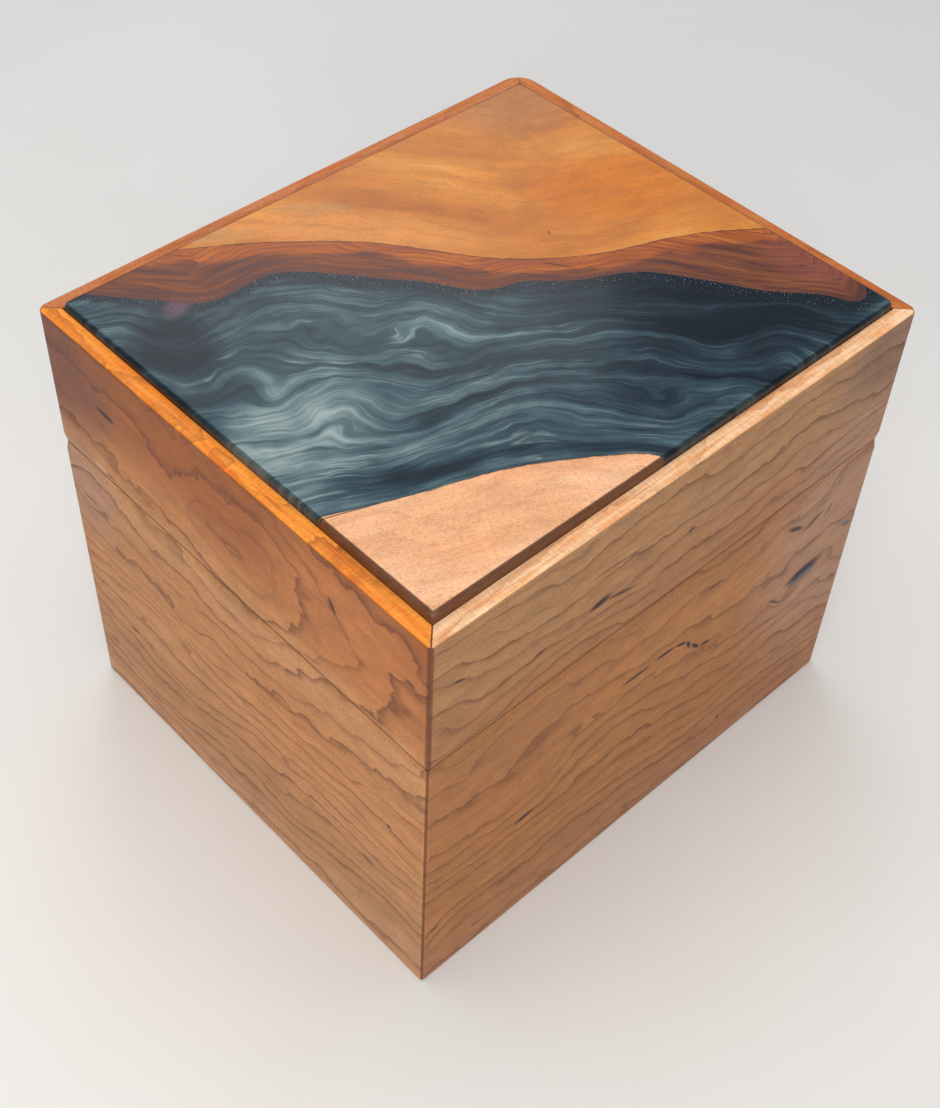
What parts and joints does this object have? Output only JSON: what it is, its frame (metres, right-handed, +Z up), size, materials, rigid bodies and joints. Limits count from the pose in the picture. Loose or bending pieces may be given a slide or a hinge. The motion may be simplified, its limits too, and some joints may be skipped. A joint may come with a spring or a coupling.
{
  "type": "puzzle box",
  "caption": "Mitred hardwood puzzle box with a raised wood and resin river panel in its hinged lid and a hidden spin lock of sliding pins.",
  "frame": {"origin": "middle of the flat underside, on the surface that the box stands on", "axes": "+Z up, +X to the right, +Y to the hinged back; the lock is behind the front board at -Y"},
  "size_m": [0.203, 0.1808, 0.176],
  "materials": {
    "cherry": "satin oiled",
    "panel_light_wood": "satin oiled",
    "live_edge_wood": "satin oiled",
    "river_resin": "polished pearl resin",
    "void_resin": "polished resin",
    "bottom_board": "satin oiled",
    "liner_maple": "satin oiled",
    "walnut": "satin oiled",
    "brass": "satin",
    "brass_screws": "satin",
    "steel": "ground"
  },
  "bodies": {
    "base": {"base_front": "cherry", "base_right": "cherry", "base_back": "cherry", "base_left": "cherry", "base_bottom": "bottom_board", "liner_front": "liner_maple", "liner_right": "liner_maple", "liner_back": "liner_maple", "liner_left": "liner_maple", "hinge_left_base_leaf": "brass", "hinge_right_base_leaf": "brass", "hinge_left_pin": "brass", "hinge_right_pin": "brass", "base_hinge_screws": "brass_screws", "lock_block": "walnut", "lock_plug_left": "brass", "lock_plug_right": "brass", "lock_block_screws": "brass_screws", "void_fills": "void_resin"},
    "lid": {"lid_front": "cherry", "lid_right": "cherry", "lid_back": "cherry", "lid_left": "cherry", "panel_rear_board": "panel_light_wood", "panel_live_edge": "live_edge_wood", "panel_river": "river_resin", "panel_front_board": "panel_light_wood", "hinge_left_lid_leaf": "brass", "hinge_right_lid_leaf": "brass", "lid_hinge_screws": "brass_screws", "lock_tongue": "brass", "tongue_screws": "brass_screws"},
    "left_pin": {"lock_pin_left": "steel"},
    "right_pin": {"lock_pin_right": "steel"}
  },
  "joints": [
    {"name": "lid_hinge", "type": "hinge", "parent": "base", "child": "lid", "pos_m": [0, 0.0902, 0.118], "axis": [-1, 0, 0], "range_deg": [0, 95]},
    {"name": "left_pin_slide", "type": "slide", "parent": "base", "child": "left_pin", "axis": [1, 0, 0], "range_m": [0, 0.0045]},
    {"name": "right_pin_slide", "type": "slide", "parent": "base", "child": "right_pin", "axis": [-1, 0, 0], "range_m": [0, 0.0045]}
  ]
}
